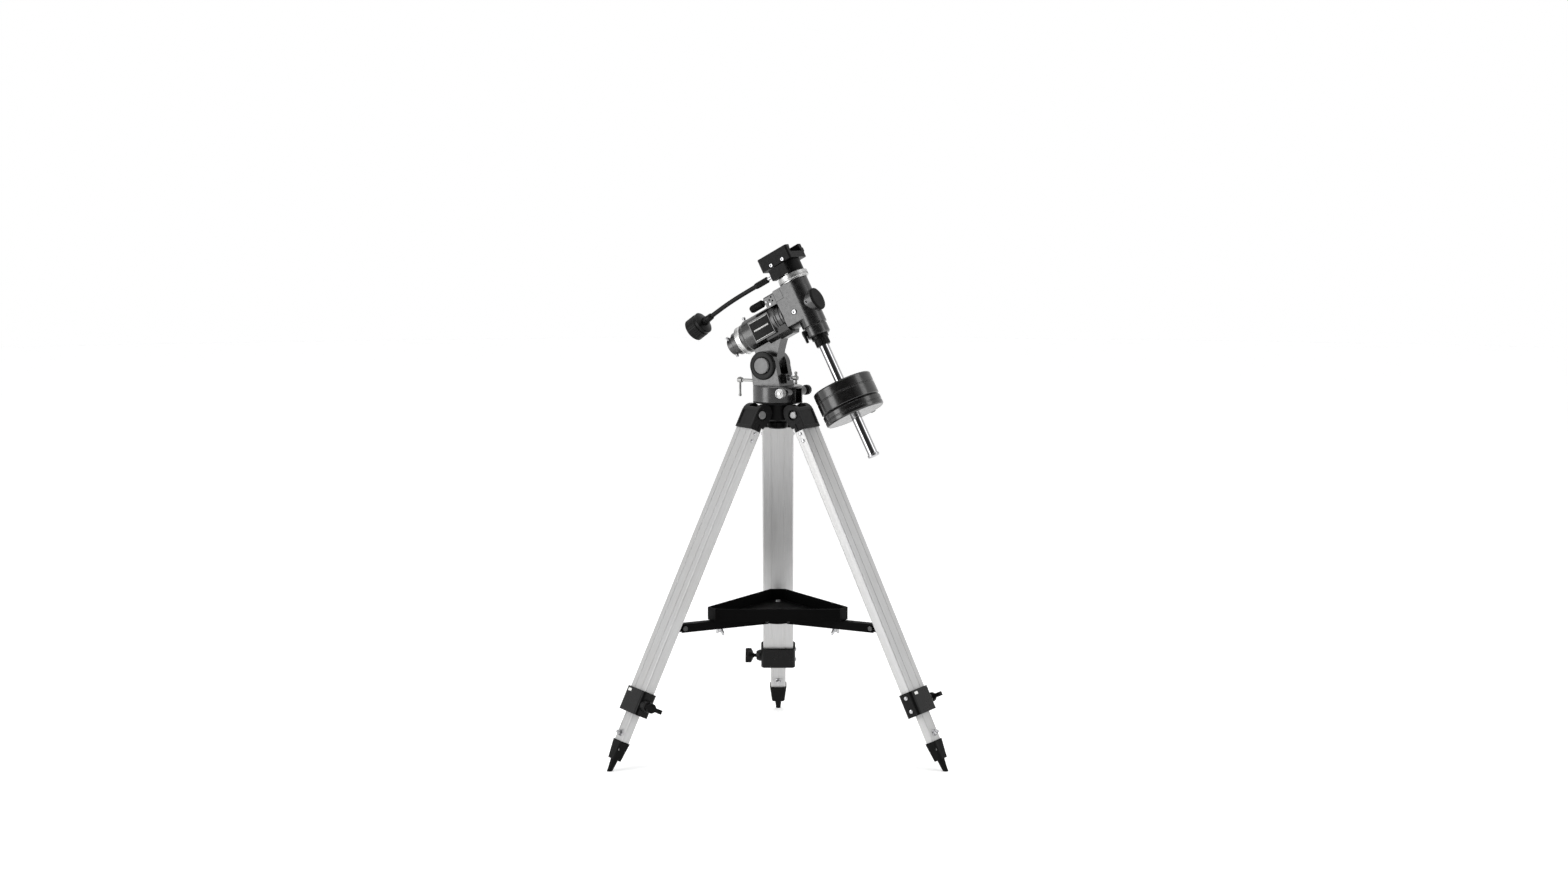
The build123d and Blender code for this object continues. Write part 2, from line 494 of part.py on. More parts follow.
with BuildPart() as ra_housing:
    low, high = RA_SPAN
    turn(ra, (RA_SHAFT_RADIUS + RUN, -163), (CIRCLE_BORE, -163), (CIRCLE_BORE, -150), (29, -150), (30, -149),
         (30, low - 4), (31.5, low - 3), (RA_RADIUS, low), (RA_RADIUS, high - 3), (32, high - 1.5), (32, high + 1),
         (30, high + 2), (30, high + 9), (28, high + 10), (28, RA_FRONT), (RA_SHAFT_RADIUS + RUN, RA_FRONT))
    block(dec, (-118, -34.2, -25), (-68, -20, 20))
    plate(side(head, WEB_HALF), ((-57, 827), (-44, 803), (-36.6, 778), (2.6, 778), (8.5, 806), (12.8, 822),
                                 (16, 832), (10, 860)), 2 * WEB_HALF)
    keel_end = local(dec, (-98, 0, 0), z_dir=(1, 0, 0), x_dir=(0, 1, 0))
    plate(keel_end, ((-28, -17), (-22, -29), (-12, -38.5), (12, -38.5), (22, -29), (28, -17)), 53.6)
    disc(pivot_line, 19.6, -WEB_HALF, WEB_HALF)
    block(head, (PIVOT_OUT - FINGER_HALF, -WEB_HALF + 3, 747), (PIVOT_OUT + FINGER_HALF, WEB_HALF - 3, 778))
    disc(local(head, (PIVOT_OUT, 0, 747), z_dir=(0, -1, 0)), FINGER_HALF, -WEB_HALF + 3, WEB_HALF - 3)
    disc(pivot_line, PIVOT_PIN + RUN, -40, 40, mode=Mode.SUBTRACT)
    disc(ra, RA_SHAFT_RADIUS + RUN, -170, -40, mode=Mode.SUBTRACT)
    disc(ra, 24, -126, -78, mode=Mode.SUBTRACT)
    disc(ra, RA_WHEEL_RADIUS + 1, *WHEEL_SPAN, mode=Mode.SUBTRACT)
    block(dec, (-69, -20, 12), (-54, 20, 36), mode=Mode.SUBTRACT)
keep(ra_housing, "ra_housing")

COVER_LOW = (-70.0, -22.0, 27.0)
COVER_HIGH = (-45.5, 22.0, 51.0)
CLUTCH_Y = -15.0
CLUTCH_Z = 43.0
with BuildPart() as ra_worm_cover:
    block(dec, COVER_LOW, COVER_HIGH)
    chamfer(ra_worm_cover.edges().filter_by(Axis(dec.origin, dec.x_dir)).sort_by(Axis(dec.origin, dec.z_dir))[-2:],
            3.0)
    disc(ra, RA_RADIUS, -80, -60.9, mode=Mode.SUBTRACT)
    disc(ra, 32, -61, -40, mode=Mode.SUBTRACT)
    worm_line = local(dec, (RA_WORM_X, 0, RA_WORM_Z), z_dir=(0, 1, 0), x_dir=(0, 0, 1))
    disc(worm_line, 6.6, -17, 17, mode=Mode.SUBTRACT)
    disc(worm_line, 3.2 + RUN, -30, 30, mode=Mode.SUBTRACT)
    clutch_line = local(dec, (0, CLUTCH_Y, CLUTCH_Z), z_dir=(-1, 0, 0), x_dir=(0, 1, 0))
    disc(clutch_line, 3.0 + RUN, 55, 80, mode=Mode.SUBTRACT)
    for across, up in ((-52, 45), (-58, 41), (-52, 37)):
        disc(local(dec, (across, -23, up), z_dir=(0, 1, 0)), 1.8, 0, 4, mode=Mode.SUBTRACT)
keep(ra_worm_cover, "ra_worm_cover")


def worm(line, radius, spindle, low, high, start, end):
    """A worm: a ridged roller on a thinner spindle."""
    turn(line, (0, start), (spindle, start), (spindle, end), (0, end))
    outline = [(0, low)]
    pitch = 3.2
    count = int((high - low) / pitch)
    for turn_number in range(count):
        foot = low + turn_number * pitch
        outline += [(radius - 1.4, foot), (radius, foot + 0.8), (radius, foot + 1.6), (radius - 1.4, foot + 2.4)]
    outline.append((0, low + count * pitch - 0.8))
    turn(line, *outline)


STUB_RADIUS = 3.0
STUB_SPAN = (24.0, 40.0)
with BuildPart() as ra_worm:
    worm(worm_line, 6.0, 3.2, -15, 15, -20, STUB_SPAN[0])
    disc(worm_line, STUB_RADIUS, STUB_SPAN[0], STUB_SPAN[1])
    block(dec, (RA_WORM_X - 5, STUB_SPAN[0], RA_WORM_Z + 2.3), (RA_WORM_X + 5, STUB_SPAN[1] + 1, RA_WORM_Z + 5),
          mode=Mode.SUBTRACT)
keep(ra_worm, "ra_worm")


def ribbed(line, radius, low, high, count, depth):
    """Cut grooves along a round grip."""
    with BuildSketch(local(line, (0, 0, low))) as cuts:
        with PolarLocations(radius + depth * 0.35, count):
            Circle(depth)
    extrude(cuts.sketch, amount=high - low, mode=Mode.SUBTRACT)


with BuildPart() as ra_clutch_knob:
    turn(clutch_line, (0, 58), (3, 58), (3, 74), (5, 74), (5, 78), (7, 78), (7.8, 79.5), (7.8, 104), (7, 106),
         (6, 108), (0, 108))
    ribbed(clutch_line, 7.8, 82, 102, 14, 0.9)
keep(ra_clutch_knob, "ra_clutch_knob")

with BuildPart() as ra_circle:
    turn(ra, (CIRCLE_BORE + RUN, -162.6), (28.6, -162.6), (29.6, -161.6), (29.6, -151.4), (28.6, -150.4),
         (CIRCLE_BORE + RUN, -150.4))
keep(ra_circle, "ra_circle")

with BuildPart() as polar_holder:
    turn(ra, (12, -163), (23, -163), (23.6, -164), (23.6, -175), (22, -176.5), (19, -177.5), (19, -188.5),
         (17.5, -190), (12, -190))
    for angle in (43, 163, 283):
        disc(local(ra, (0, 0, -184), z_dir=(cos(radians(angle)), sin(radians(angle)), 0), x_dir=(0, 0, 1)), 2.0,
             8, 30, mode=Mode.SUBTRACT)
keep(polar_holder, "polar_holder")

with BuildPart() as polar_screws:
    for angle in (43, 163, 283):
        spoke = local(ra, (0, 0, -184), z_dir=(cos(radians(angle)), sin(radians(angle)), 0), x_dir=(0, 0, 1))
        turn(spoke, (0, 13), (2, 13), (2, 19.2), (3.2, 19.2), (3.2, 24.5), (2.6, 25.2), (0, 25.2))
keep(polar_screws, "polar_screws")

# ---------------------------------------------------------------- declination housing, turns about the polar axis
DEC_TOP = 52.0
NECK_TOP = 66.6
SLEEVE_RADIUS = 15.0
DEC_WHEEL_SPAN = (70.5, 83.5)

with BuildPart() as dec_housing:
    block(dec, (DEC_LEFT, -DEC_RADIUS, -26), (0, DEC_RADIUS, DEC_TOP))
    chamfer(dec_housing.edges().filter_by(Axis(dec.origin, dec.y_dir)).group_by(Axis(dec.origin, dec.x_dir))[0], 2.0)
    with BuildSketch(local(dec, (DEC_LEFT, 0, 0), z_dir=(1, 0, 0), x_dir=(0, 1, 0))):
        Circle(RA_RADIUS - 0.3)
        Rectangle(2 * DEC_RADIUS, 80, mode=Mode.INTERSECT)
    extrude(amount=33)
    turn(dec, (DEC_SHAFT_RADIUS + RUN, -41), (DEC_RADIUS, -41), (DEC_RADIUS, DEC_TOP - 1), (DEC_RADIUS - 1, DEC_TOP),
         (CIRCLE_BORE, DEC_TOP), (CIRCLE_BORE, NECK_TOP), (SLEEVE_RADIUS, NECK_TOP),
         (SLEEVE_RADIUS, DEC_WHEEL_SPAN[1]), (DEC_SHAFT_RADIUS + RUN, DEC_WHEEL_SPAN[1]))
    turn(dec, (BAR_RADIUS, -67), (21, -67), (23.6, -64.5), (23.6, -48), (22.6, -47), (22.6, -45.5), (DEC_RADIUS, -44),
         (DEC_RADIUS, -40), (BAR_RADIUS, -40))
    disc(ra, 23, 0, 27.5)
    disc(dec, DEC_SHAFT_RADIUS + RUN, -44, 90, mode=Mode.SUBTRACT)
    disc(dec, BAR_RADIUS, -70, -43, mode=Mode.SUBTRACT)
    disc(dec, 20.5, -26, 36, mode=Mode.SUBTRACT)
    disc(ra, 18, 10, 30, mode=Mode.SUBTRACT)
    disc(ra, RA_SHAFT_RADIUS, -50, 0, mode=Mode.SUBTRACT)
    disc(local(dec, (-16.5, -30, -5.3), z_dir=(0, 1, 0)), 6.2, 0, 6.6, mode=Mode.SUBTRACT)
    lever_line = local(dec, (0, 0, -53), z_dir=(-0.766, -0.643, 0), x_dir=(0, 0, 1))
    disc(lever_line, 3.0 + RUN, 14, 30, mode=Mode.SUBTRACT)
keep(dec_housing, "dec_housing")

with BuildPart() as ra_shaft:
    turn(ra, (9, -161), (RA_SHAFT_RADIUS, -161), (RA_SHAFT_RADIUS, -21), (9, -21))
keep(ra_shaft, "ra_shaft")

with BuildPart() as ra_worm_wheel:
    turn(ra, (RA_SHAFT_RADIUS, WHEEL_SPAN[0] + 0.6), (RA_WHEEL_RADIUS, WHEEL_SPAN[0] + 0.6),
         (RA_WHEEL_RADIUS, WHEEL_SPAN[1] - 0.6), (RA_SHAFT_RADIUS, WHEEL_SPAN[1] - 0.6))
    ribbed(ra, RA_WHEEL_RADIUS, -70, -50, 48, 0.9)
keep(ra_worm_wheel, "ra_worm_wheel")

with BuildPart() as pole_cap:
    turn(ra, (0, 20), (16, 20), (18, 22), (18, 27.5), (23, 27.5), (23.4, 28.5), (22.6, 31), (20.5, 31.8), (0, 31.8))
    ribbed(ra, 23.4, 27.5, 40, 36, 0.6)
keep(pole_cap, "pole_cap")

with BuildPart() as dec_circle:
    turn(dec, (CIRCLE_BORE + RUN, DEC_TOP + 0.4), (27, DEC_TOP + 0.4), (27, 55), (CIRCLE_RADIUS - 0.8, 55),
         (CIRCLE_RADIUS, 55.8), (CIRCLE_RADIUS, 65.2), (CIRCLE_RADIUS - 0.8, 66), (CIRCLE_BORE + RUN, 66))
keep(dec_circle, "dec_circle")

with BuildPart() as dec_worm_wheel:
    turn(dec, (SLEEVE_RADIUS, DEC_WHEEL_SPAN[0]), (21, DEC_WHEEL_SPAN[0]), (21, DEC_WHEEL_SPAN[1]),
         (SLEEVE_RADIUS, DEC_WHEEL_SPAN[1]))
    ribbed(dec, 21, 60, 90, 40, 0.9)
keep(dec_worm_wheel, "dec_worm_wheel")

with BuildPart() as dec_clutch_lever:
    turn(lever_line, (0, 15), (3, 15), (3, 24), (6, 24), (6.5, 25), (6.5, 29), (5.5, 30), (0, 30))
    plate(local(lever_line, (0, 0, 25)), ((4, -5.5), (4, 5.5), (-17, 3.6), (-19, 2), (-19, -2), (-17, -3.6)), 4.5)
keep(dec_clutch_lever, "dec_clutch_lever")

with BuildPart() as counterweight_bar:
    turn(dec, (0, -45), (BAR_RADIUS - 1, -45), (BAR_RADIUS, -46), (BAR_RADIUS, WEIGHT_BOTTOM - 3),
         (BAR_RADIUS - 0.3, WEIGHT_BOTTOM - 3), (BAR_RADIUS - 0.3, WEIGHT_BOTTOM - 4),
         (BAR_RADIUS, WEIGHT_BOTTOM - 4), (BAR_RADIUS, BAR_END + 2),
         (BAR_RADIUS - 4, BAR_END + 2), (BAR_RADIUS - 4, BAR_END + 4), (0, BAR_END + 4))
keep(counterweight_bar, "counterweight_bar")

with BuildPart() as bar_nut:
    turn(dec, (BAR_RADIUS, -67), (17, -67), (17.5, -68), (17.5, -73), (14.8, -74), (14.8, -87), (13.5, -88.5),
         (BAR_RADIUS, -88.5))
    ribbed(dec, 14.8, -87, -74.5, 20, 0.9)
keep(bar_nut, "bar_nut")

with BuildPart() as toe_saver:
    turn(dec, (0, BAR_END + 4), (BAR_RADIUS - 4, BAR_END + 4), (BAR_RADIUS - 4, BAR_END + 2), (11, BAR_END + 2),
         (11.8, BAR_END + 1), (11.8, BAR_END - 2.5), (10.5, BAR_END - 4), (0, BAR_END - 4))
keep(toe_saver, "toe_saver")

# ---------------------------------------------------------------- counterweights
LOCK_RADIUS = 4.0


def weight(top, bottom, groove, lock):
    """A thick iron disc on the bar with a shallow groove round its rim and a lock hole from the back."""
    rim = WEIGHT_RADIUS
    turn(dec, (BAR_RADIUS + RUN, bottom), (rim - 2.5, bottom), (rim, bottom + 2.5), (rim, groove - 1.5),
         (rim - 1.2, groove - 0.8), (rim - 1.2, groove + 0.8), (rim, groove + 1.5), (rim, top - 2.5), (rim - 2.5, top),
         (BAR_RADIUS + RUN, top))
    disc(local(dec, (0, 0, lock), z_dir=(0, 1, 0)), LOCK_RADIUS + RUN, 5, 70, mode=Mode.SUBTRACT)


def lock_knob(lock):
    """The threaded knob that clamps a weight to the bar."""
    line = local(dec, (0, 0, lock), z_dir=(0, 1, 0))
    turn(line, (0, BAR_RADIUS + 0.5), (2.6, BAR_RADIUS + 0.5), (LOCK_RADIUS, BAR_RADIUS + 2), (LOCK_RADIUS, 63),
         (8, 63), (10.5, 65), (10.5, 78), (9, 80), (0, 80))
    ribbed(line, 10.5, 64, 82, 8, 2.2)


UPPER_LOCK = -196.0
LOWER_LOCK = -230.5
with BuildPart() as counterweight_upper:
    weight(WEIGHT_TOP, WEIGHT_JOINT, -193, UPPER_LOCK)
keep(counterweight_upper, "counterweight_upper")

with BuildPart() as counterweight_lower:
    weight(WEIGHT_JOINT - GAP, WEIGHT_BOTTOM, -232, LOWER_LOCK)
    disc(local(dec, (22, -30, WEIGHT_BOTTOM)), 3.0, -1, 4, mode=Mode.SUBTRACT)
keep(counterweight_lower, "counterweight_lower")

with BuildPart() as weight_knob_upper:
    lock_knob(UPPER_LOCK)
keep(weight_knob_upper, "weight_knob_upper")

with BuildPart() as weight_knob_lower:
    lock_knob(LOWER_LOCK)
keep(weight_knob_lower, "weight_knob_lower")

# ---------------------------------------------------------------- declination axis: worm box, saddle, cable
SADDLE_BASE = 92.0
SADDLE_FLOOR = 105.0
SADDLE_TOP = 120.0
SADDLE_HALF = 33.0
CLAMP_X = (-17.0, 11.0)
CLAMP_Z = 112.5

with BuildPart() as dec_shaft:
    turn(dec, (0, -40), (DEC_SHAFT_RADIUS, -40), (DEC_SHAFT_RADIUS, SADDLE_BASE - 6), (0, SADDLE_BASE - 6))
keep(dec_shaft, "dec_shaft")

WORM_SPINDLE = 3.2
with BuildPart() as dec_worm_housing:
    turn(dec, (0, SADDLE_BASE - 6), (0, SADDLE_BASE), (26, SADDLE_BASE), (26.5, SADDLE_BASE - 1), (26.5, 68),
         (25.5, 67), (22.3, 67), (22.3, SADDLE_BASE - 6))
    block(dec, (-27, -35, 67.5), (12, -20, 90))
    disc(dec, 22.3, 66, SADDLE_BASE - 6, mode=Mode.SUBTRACT)
    dec_worm_line = local(dec, (0, WORM_Y, WORM_Z), z_dir=(-1, 0, 0), x_dir=(0, 1, 0))
    disc(dec_worm_line, 5.8, -7, 19, mode=Mode.SUBTRACT)
    disc(dec_worm_line, WORM_SPINDLE + RUN, -15, 40, mode=Mode.SUBTRACT)
keep(dec_worm_housing, "dec_worm_housing")

with BuildPart() as dec_worm:
    worm(dec_worm_line, 5.0, WORM_SPINDLE, -5, 17, -9, 46)
keep(dec_worm, "dec_worm")

with BuildPart() as saddle:
    low, high = SADDLE_SPAN
    block(dec, (low, -SADDLE_HALF, SADDLE_BASE), (high, SADDLE_HALF, SADDLE_TOP))
    chamfer(saddle.edges().filter_by(Axis(dec.origin, dec.z_dir)), 3.0)
    mouth, floor = DOVETAIL_MOUTH / 2, DOVETAIL_FLOOR / 2
    end_face = local(dec, (low - 1, 0, 0), z_dir=(1, 0, 0), x_dir=(0, 1, 0))
    plate(end_face, ((-floor, SADDLE_FLOOR), (floor, SADDLE_FLOOR), (mouth, SADDLE_TOP + 0.1),
                     (-mouth, SADDLE_TOP + 0.1)), high - low + 2, mode=Mode.SUBTRACT)
    for along in CLAMP_X:
        disc(local(dec, (along, 0, CLAMP_Z), z_dir=(0, 1, 0)), LOCK_RADIUS + RUN, 10, 40, mode=Mode.SUBTRACT)
        disc(local(dec, (along, -SADDLE_HALF, 97), z_dir=(0, 1, 0)), 4.2, -1, 3, mode=Mode.SUBTRACT)
keep(saddle, "saddle")

for number, along in enumerate(CLAMP_X, start=1):
    with BuildPart() as saddle_knob:
        line = local(dec, (along, 0, CLAMP_Z), z_dir=(0, 1, 0))
        turn(line, (0, 22), (2.6, 22), (LOCK_RADIUS, 23.5), (LOCK_RADIUS, 38), (6, 38), (9.6, 41), (9.6, 53), (8, 55),
             (0, 55))
        ribbed(line, 9.6, 40, 60, 10, 1.5)
    keep(saddle_knob, f"saddle_knob_{number}")

# the slow-motion cable, from its sleeve on the worm to its knob: points in the dec frame, x then z
CABLE_ROUTE = ((-46, 77), (-84, 77), (-129, 76.2), (-170, 73), (-202, 69))
cable_points = [dec.from_local_coords(Vector(x, WORM_Y, z)) for x, z in CABLE_ROUTE]
runs = [b - a for a, b in zip(cable_points, cable_points[1:])]
turns = [a.get_angle(b) for a, b in zip(runs, runs[1:])]
radii = [0.45 * min(a.length, b.length) / sin(radians(t / 2)) * cos(radians(t / 2))
         for a, b, t in zip(runs, runs[1:], turns)]
with BuildPart() as slow_motion_cable:
    with BuildLine() as route:
        FilletPolyline(*cable_points, radius=radii)
    with BuildSketch(Plane(origin=cable_points[0], z_dir=runs[0])):
        Circle(CABLE_RADIUS)
    sweep()
keep(slow_motion_cable, "slow_motion_cable")
cable_length = sum(edge.length for edge in route.line.edges())
print("cable radii", [round(r) for r in radii], "length", round(cable_length, 1),
      "volume", round(slow_motion_cable.part.volume), "of", round(pi * CABLE_RADIUS ** 2 * cable_length))

KNOB_RADIUS = 23.5
knob_frame = Plane(origin=cable_points[-1], x_dir=BACK, z_dir=runs[-1])
with BuildPart() as slow_motion_knob:
    turn(knob_frame, (0, 0), (8, 0), (9, 1), (9, 7), (14, 8), (22, 10), (23, 11), (23, 16), (21.5, 17), (21.5, 18),
         (KNOB_RADIUS, 19.5), (KNOB_RADIUS, 40), (21.5, 42), (19, 43), (0, 43))
    ribbed(knob_frame, KNOB_RADIUS, 18.5, 45, 30, 1.3)
keep(slow_motion_knob, "slow_motion_knob")
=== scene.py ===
"""Looks of the equatorial mount: materials, small hardware, studio and camera. Metres, frame of the CAD."""
import json
from math import cos, pi, radians, sin

import bmesh
import bpy
from mathutils import Matrix, Vector


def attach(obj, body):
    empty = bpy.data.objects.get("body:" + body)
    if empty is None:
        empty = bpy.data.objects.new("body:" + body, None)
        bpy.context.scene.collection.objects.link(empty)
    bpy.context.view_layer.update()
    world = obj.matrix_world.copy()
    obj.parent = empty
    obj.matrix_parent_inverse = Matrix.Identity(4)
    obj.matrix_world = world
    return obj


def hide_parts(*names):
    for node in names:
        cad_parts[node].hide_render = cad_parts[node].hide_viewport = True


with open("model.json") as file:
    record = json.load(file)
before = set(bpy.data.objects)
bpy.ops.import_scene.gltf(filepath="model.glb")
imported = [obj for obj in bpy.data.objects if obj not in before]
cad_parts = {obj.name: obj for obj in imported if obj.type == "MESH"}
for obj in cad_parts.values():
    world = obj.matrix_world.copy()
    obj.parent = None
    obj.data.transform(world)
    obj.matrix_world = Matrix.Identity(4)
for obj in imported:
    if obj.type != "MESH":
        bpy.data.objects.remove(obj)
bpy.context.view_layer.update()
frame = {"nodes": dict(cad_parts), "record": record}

MM = 0.001
NODES = frame["nodes"]
JOINTS = {joint["name"]: joint for joint in frame["record"]["behaviour"]["joints"]}

# ------------------------------------------------------------------ frames
AXIS = Vector(JOINTS["azimuth"]["pos_m"])
UP = Vector((0, 0, 1))
POLE = Vector(JOINTS["ra_turn"]["axis"]).normalized()
RISE = Vector(JOINTS["dec_turn"]["axis"]).normalized()
BACK = RISE.cross(POLE).normalized()
AHEAD = BACK.cross(UP)
CROSSING = Vector(JOINTS["ra_turn"]["pos_m"])


def frame_of(origin, x, y, z):
    """Local frame as a matrix from its axes, all in metres."""
    rows = Matrix((x, y, z)).transposed().to_4x4()
    return Matrix.Translation(origin) @ rows


DEC = frame_of(CROSSING, POLE, BACK, RISE)
HEAD = frame_of(Vector((AXIS.x, AXIS.y, 0)), AHEAD, BACK, UP)
MOUNTS = frame["record"]["mounts"]
FEET = [Vector(mount["pos_m"]) for mount in MOUNTS if mount["name"].startswith("foot_face")]
LEG_ANGLES = (90, 210, 330)
HINGE_OUT, HINGE_UP = 0.0527, 0.6826     # leg hinge from the azimuth axis and from the ground


def leg_frame(number):
    """Frame at a foot: x across the leg, y inward, z up along it."""
    angle = radians(LEG_ANGLES[number])
    out = Vector((cos(angle), sin(angle), 0))
    across = UP.cross(out)
    hinge = Vector((AXIS.x, AXIS.y, 0)) + out * HINGE_OUT + UP * HINGE_UP
    along = (hinge - FEET[number]).normalized()
    return frame_of(FEET[number], across, along.cross(across), along)


LEGS = [leg_frame(number) for number in range(3)]


def aim(parent, origin, z_dir, x_dir=None):
    """Frame inside a parent frame, origin in millimetres, directions in the parent's axes."""
    z = Vector(z_dir).normalized()
    x = Vector(x_dir) if x_dir else z.orthogonal()
    x = (x - z * x.dot(z)).normalized()
    return parent @ frame_of(Vector(origin) * MM, x, z.cross(x), z)


# ------------------------------------------------------------------ materials
class Shader:
    """Node tree of one material, with short calls for the nodes used here."""

    def __init__(self, name):
        self.material = bpy.data.materials.new(name)
        self.material.use_nodes = True
        self.tree = self.material.node_tree
        self.bsdf = self.tree.nodes["Principled BSDF"]
        self.coord = self.tree.nodes.new("ShaderNodeTexCoord").outputs["Object"]

    def node(self, kind, inputs=(), **settings):
        made = self.tree.nodes.new(kind)
        for key, value in settings.items():
            setattr(made, key, value)
        for key, value in dict(inputs).items():
            if isinstance(value, bpy.types.NodeSocket):
                self.tree.links.new(value, made.inputs[key])
            else:
                made.inputs[key].default_value = value
        return made

    def noise(self, scale, detail=3.0, vector=None, roughness=0.5):
        inputs = {"Vector": vector or self.coord, "Scale": scale, "Detail": detail, "Roughness": roughness}
        return self.node("ShaderNodeTexNoise", inputs).outputs["Fac"]

    def remap(self, value, low, high, to_low, to_high):
        inputs = {0: value, 1: low, 2: high, 3: to_low, 4: to_high}
        return self.node("ShaderNodeMapRange", inputs, clamp=True).outputs[0]

    def math(self, operation, a, b=0.0):
        return self.node("ShaderNodeMath", {0: a, 1: b}, operation=operation).outputs[0]

    def blend(self, factor, a, b):
        made = self.node("ShaderNodeMix", data_type="RGBA")
        for socket, value in ((made.inputs[0], factor), (made.inputs[6], a), (made.inputs[7], b)):
            if isinstance(value, bpy.types.NodeSocket):
                self.tree.links.new(value, socket)
            else:
                socket.default_value = value
        return made.outputs[2]

    def bump(self, height, distance, strength=1.0, normal=None):
        inputs = {"Height": height, "Distance": distance, "Strength": strength}
        if normal:
            inputs["Normal"] = normal
        return self.node("ShaderNodeBump", inputs).outputs["Normal"]

    def edge(self, radius):
        """(rounded normal, mask that is 1 on convex and concave edges)."""
        rounded = self.node("ShaderNodeBevel", {"Radius": radius}, samples=4).outputs["Normal"]
        true_normal = self.node("ShaderNodeNewGeometry").outputs["Normal"]
        dot = self.node("ShaderNodeVectorMath", {0: rounded, 1: true_normal}, operation="DOT_PRODUCT")
        return rounded, self.remap(dot.outputs["Value"], 0.99, 0.86, 0.0, 1.0)

    def join(self, colour=None, roughness=None, normal=None):
        for key, value in (("Base Color", colour), ("Roughness", roughness), ("Normal", normal)):
            if value is not None:
                self.tree.links.new(value, self.bsdf.inputs[key])

    def set(self, **values):
        for key, value in values.items():
            self.bsdf.inputs[key.replace("_", " ")].default_value = value


def rgb(*values):
    return (*values, 1.0)


def grey(value):
    return (value, value, value, 1.0)


def enamel(name, colour, rough, grain, grain_depth, worn, edge_radius=0.0007, ior=1.74, coat=0.0):
    """Paint on a casting: soft orange peel, uneven gloss, edges rubbed to the worn colour."""
    s = Shader(name)
    rounded, edges = s.edge(edge_radius)
    broad = s.noise(22, 4)
    patches = s.noise(160, 3)
    rub = s.math("MULTIPLY", edges, s.remap(patches, 0.42, 0.62, 0.0, 0.75))
    tone = s.blend(s.remap(broad, 0.3, 0.7, 0.0, 1.0), colour, rgb(*[c * 1.5 + 0.001 for c in colour[:3]]))
    s.set(IOR=ior, Coat_Weight=coat)
    s.join(s.blend(rub, tone, worn), s.remap(patches, 0.3, 0.7, rough - 0.05, rough + 0.07),
           s.bump(s.noise(grain, 2), grain_depth, 0.5, rounded))
    return s.material


def plastic(name, colour, rough, grain=2600, depth=0.00004, shine=0.08):
    """Moulded plastic: fine spark grain, slightly paler and duller where hands rub it."""
    s = Shader(name)
    rounded, edges = s.edge(0.0005)
    fine = s.noise(grain, 2)
    broad = s.noise(45, 3)
    pale = rgb(*[c * 2.2 + 0.008 for c in colour[:3]])
    s.set(Specular_IOR_Level=shine)
    tone = s.blend(s.math("MULTIPLY", edges, s.remap(broad, 0.35, 0.65, 0.1, 0.6)), colour, pale)
    s.join(tone, s.remap(broad, 0.3, 0.7, rough - 0.06, rough + 0.08), s.bump(fine, depth, 0.7, rounded))
    return s.material


def extrusion(name, matrix, base=0.58):
    """Satin aluminium section with fine draw lines along the leg."""
    s = Shader(name)
    turned = matrix.to_3x3().to_euler()
    drawn = s.node("ShaderNodeMapping", {"Vector": s.coord, "Rotation": turned, "Scale": (1, 1, 60)},
                   vector_type="TEXTURE").outputs[0]
    lines = s.noise(900, 3, drawn, 0.6)
    wide = s.noise(120, 2, drawn)
    cloud = s.noise(9, 3)
    rounded, edges = s.edge(0.0005)
    tone = s.blend(s.remap(lines, 0.3, 0.7, 0.0, 1.0), grey(base - 0.10), grey(base))
    tone = s.blend(s.remap(cloud, 0.35, 0.7, 0.0, 0.35), tone, rgb(base - 0.08, base - 0.09, base - 0.10))
    tone = s.blend(s.math("MULTIPLY", edges, s.remap(wide, 0.4, 0.6, 0.0, 0.6)), tone, grey(0.9))
    s.set(Metallic=0.82)
    s.join(tone, s.remap(wide, 0.25, 0.75, 0.46, 0.58), s.bump(lines, 0.00003, 0.6, rounded))
    return s.material


def metal(name, colour, rough, scale=1400, depth=0.00002, edge_radius=0.0003):
    """Bare or plated metal with fine turning marks and faint stains."""
    s = Shader(name)
    rounded, edges = s.edge(edge_radius)
    fine = s.noise(scale, 3)
    stain = s.noise(70, 3)
    tone = s.blend(s.remap(stain, 0.4, 0.7, 0.0, 0.5), colour, rgb(*[c * 0.82 for c in colour[:3]]))
    s.set(Metallic=1.0)
    s.join(s.blend(s.math("MULTIPLY", edges, 0.4), tone, grey(0.95)),
           s.remap(stain, 0.3, 0.7, max(rough - 0.04, 0.03), rough + 0.06), s.bump(fine, depth, 0.5, rounded))
    return s.material


BLACK = rgb(0.0030, 0.0029, 0.0030)
CASTING = enamel("casting_enamel", BLACK, 0.24, 700, 0.00006, grey(0.10))
LEG_CASTING = enamel("leg_casting_enamel", BLACK, 0.36, 900, 0.00008, grey(0.04), 0.0012, 1.2)
PLATE_CASTING = enamel("plate_enamel", grey(0.006), 0.55, 2400, 0.00010, grey(0.15), 0.0004, 1.25)
GREY_CASTING = enamel("grey_enamel", grey(0.13), 0.45, 1500, 0.00005, grey(0.30), 0.0007, 1.5)
IRON = enamel("weight_enamel", rgb(0.0035, 0.0034, 0.0033), 0.20, 420, 0.00008, grey(0.06), 0.0010, 1.6, 0.12)
PLASTIC = plastic("moulded_nylon", grey(0.004), 0.42)
GLOSS_PLASTIC = plastic("gloss_plastic", grey(0.003), 0.28, 1800, 0.00002, 0.15)
TRAY_PLASTIC = plastic("tray_plastic", grey(0.002), 0.55, 1500, 0.00012, 0.04)
RUBBER = plastic("foot_rubber", grey(0.005), 0.62, 900, 0.00010, 0.08)
